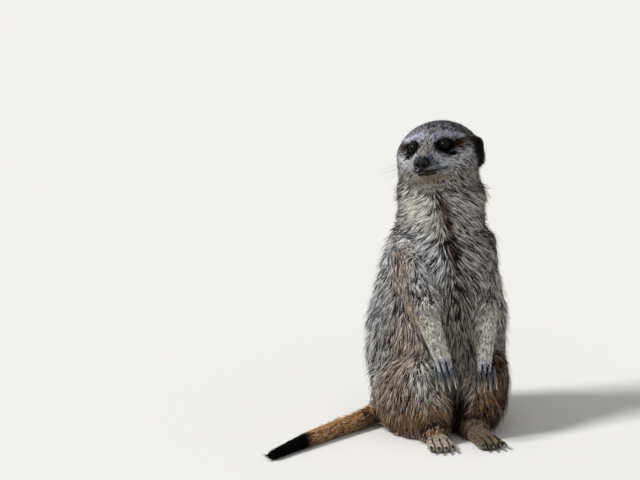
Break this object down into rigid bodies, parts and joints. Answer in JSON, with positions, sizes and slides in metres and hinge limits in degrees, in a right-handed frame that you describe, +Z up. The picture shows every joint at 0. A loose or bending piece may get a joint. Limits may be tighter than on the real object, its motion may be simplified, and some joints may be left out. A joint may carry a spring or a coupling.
{
  "type": "meerkat figure",
  "caption": "Life-size still model of a meerkat sitting upright on its haunches with its forepaws hanging, its head turned to its right and its tail on the floor.",
  "frame": {"origin": "floor level under the middle of the trunk, on the flat that the rump rests on", "axes": "+Z up, -Y is the way that the hips and hind feet face, +X is the animal's left"},
  "size_m": [0.2388, 0.1583, 0.2715],
  "materials": {
    "coat_grey": "grizzled grey-brown coat, matt",
    "coat_pale": "cream to pale grey coat, matt",
    "coat_rust": "rust-brown coat, matt",
    "coat_dark": "near-black coat, matt",
    "nose_skin": "dark bare skin, damp sheen",
    "eye": "dark eye, wet gloss",
    "claw": "dark horn, satin"
  },
  "bodies": {
    "root": {"head": "coat_grey", "lower_jaw": "coat_pale", "nose": "nose_skin", "neck": "coat_pale", "trunk": "coat_grey", "tail_root": "coat_rust", "tail_middle": "coat_rust", "tail_tip": "coat_dark", "eye_left": "eye", "ear_left": "coat_dark", "upper_arm_left": "coat_grey", "forearm_left": "coat_pale", "forepaw_left": "coat_pale", "haunch_left": "coat_rust", "hind_foot_left": "coat_rust", "fore_claw_left_1": "claw", "fore_claw_left_2": "claw", "fore_claw_left_3": "claw", "fore_claw_left_4": "claw", "hind_claw_left_1": "claw", "hind_claw_left_2": "claw", "hind_claw_left_3": "claw", "hind_claw_left_4": "claw", "eye_right": "eye", "ear_right": "coat_dark", "upper_arm_right": "coat_grey", "forearm_right": "coat_pale", "forepaw_right": "coat_pale", "haunch_right": "coat_rust", "hind_foot_right": "coat_rust", "fore_claw_right_1": "claw", "fore_claw_right_2": "claw", "fore_claw_right_3": "claw", "fore_claw_right_4": "claw", "hind_claw_right_1": "claw", "hind_claw_right_2": "claw", "hind_claw_right_3": "claw", "hind_claw_right_4": "claw"}
  },
  "joints": []
}
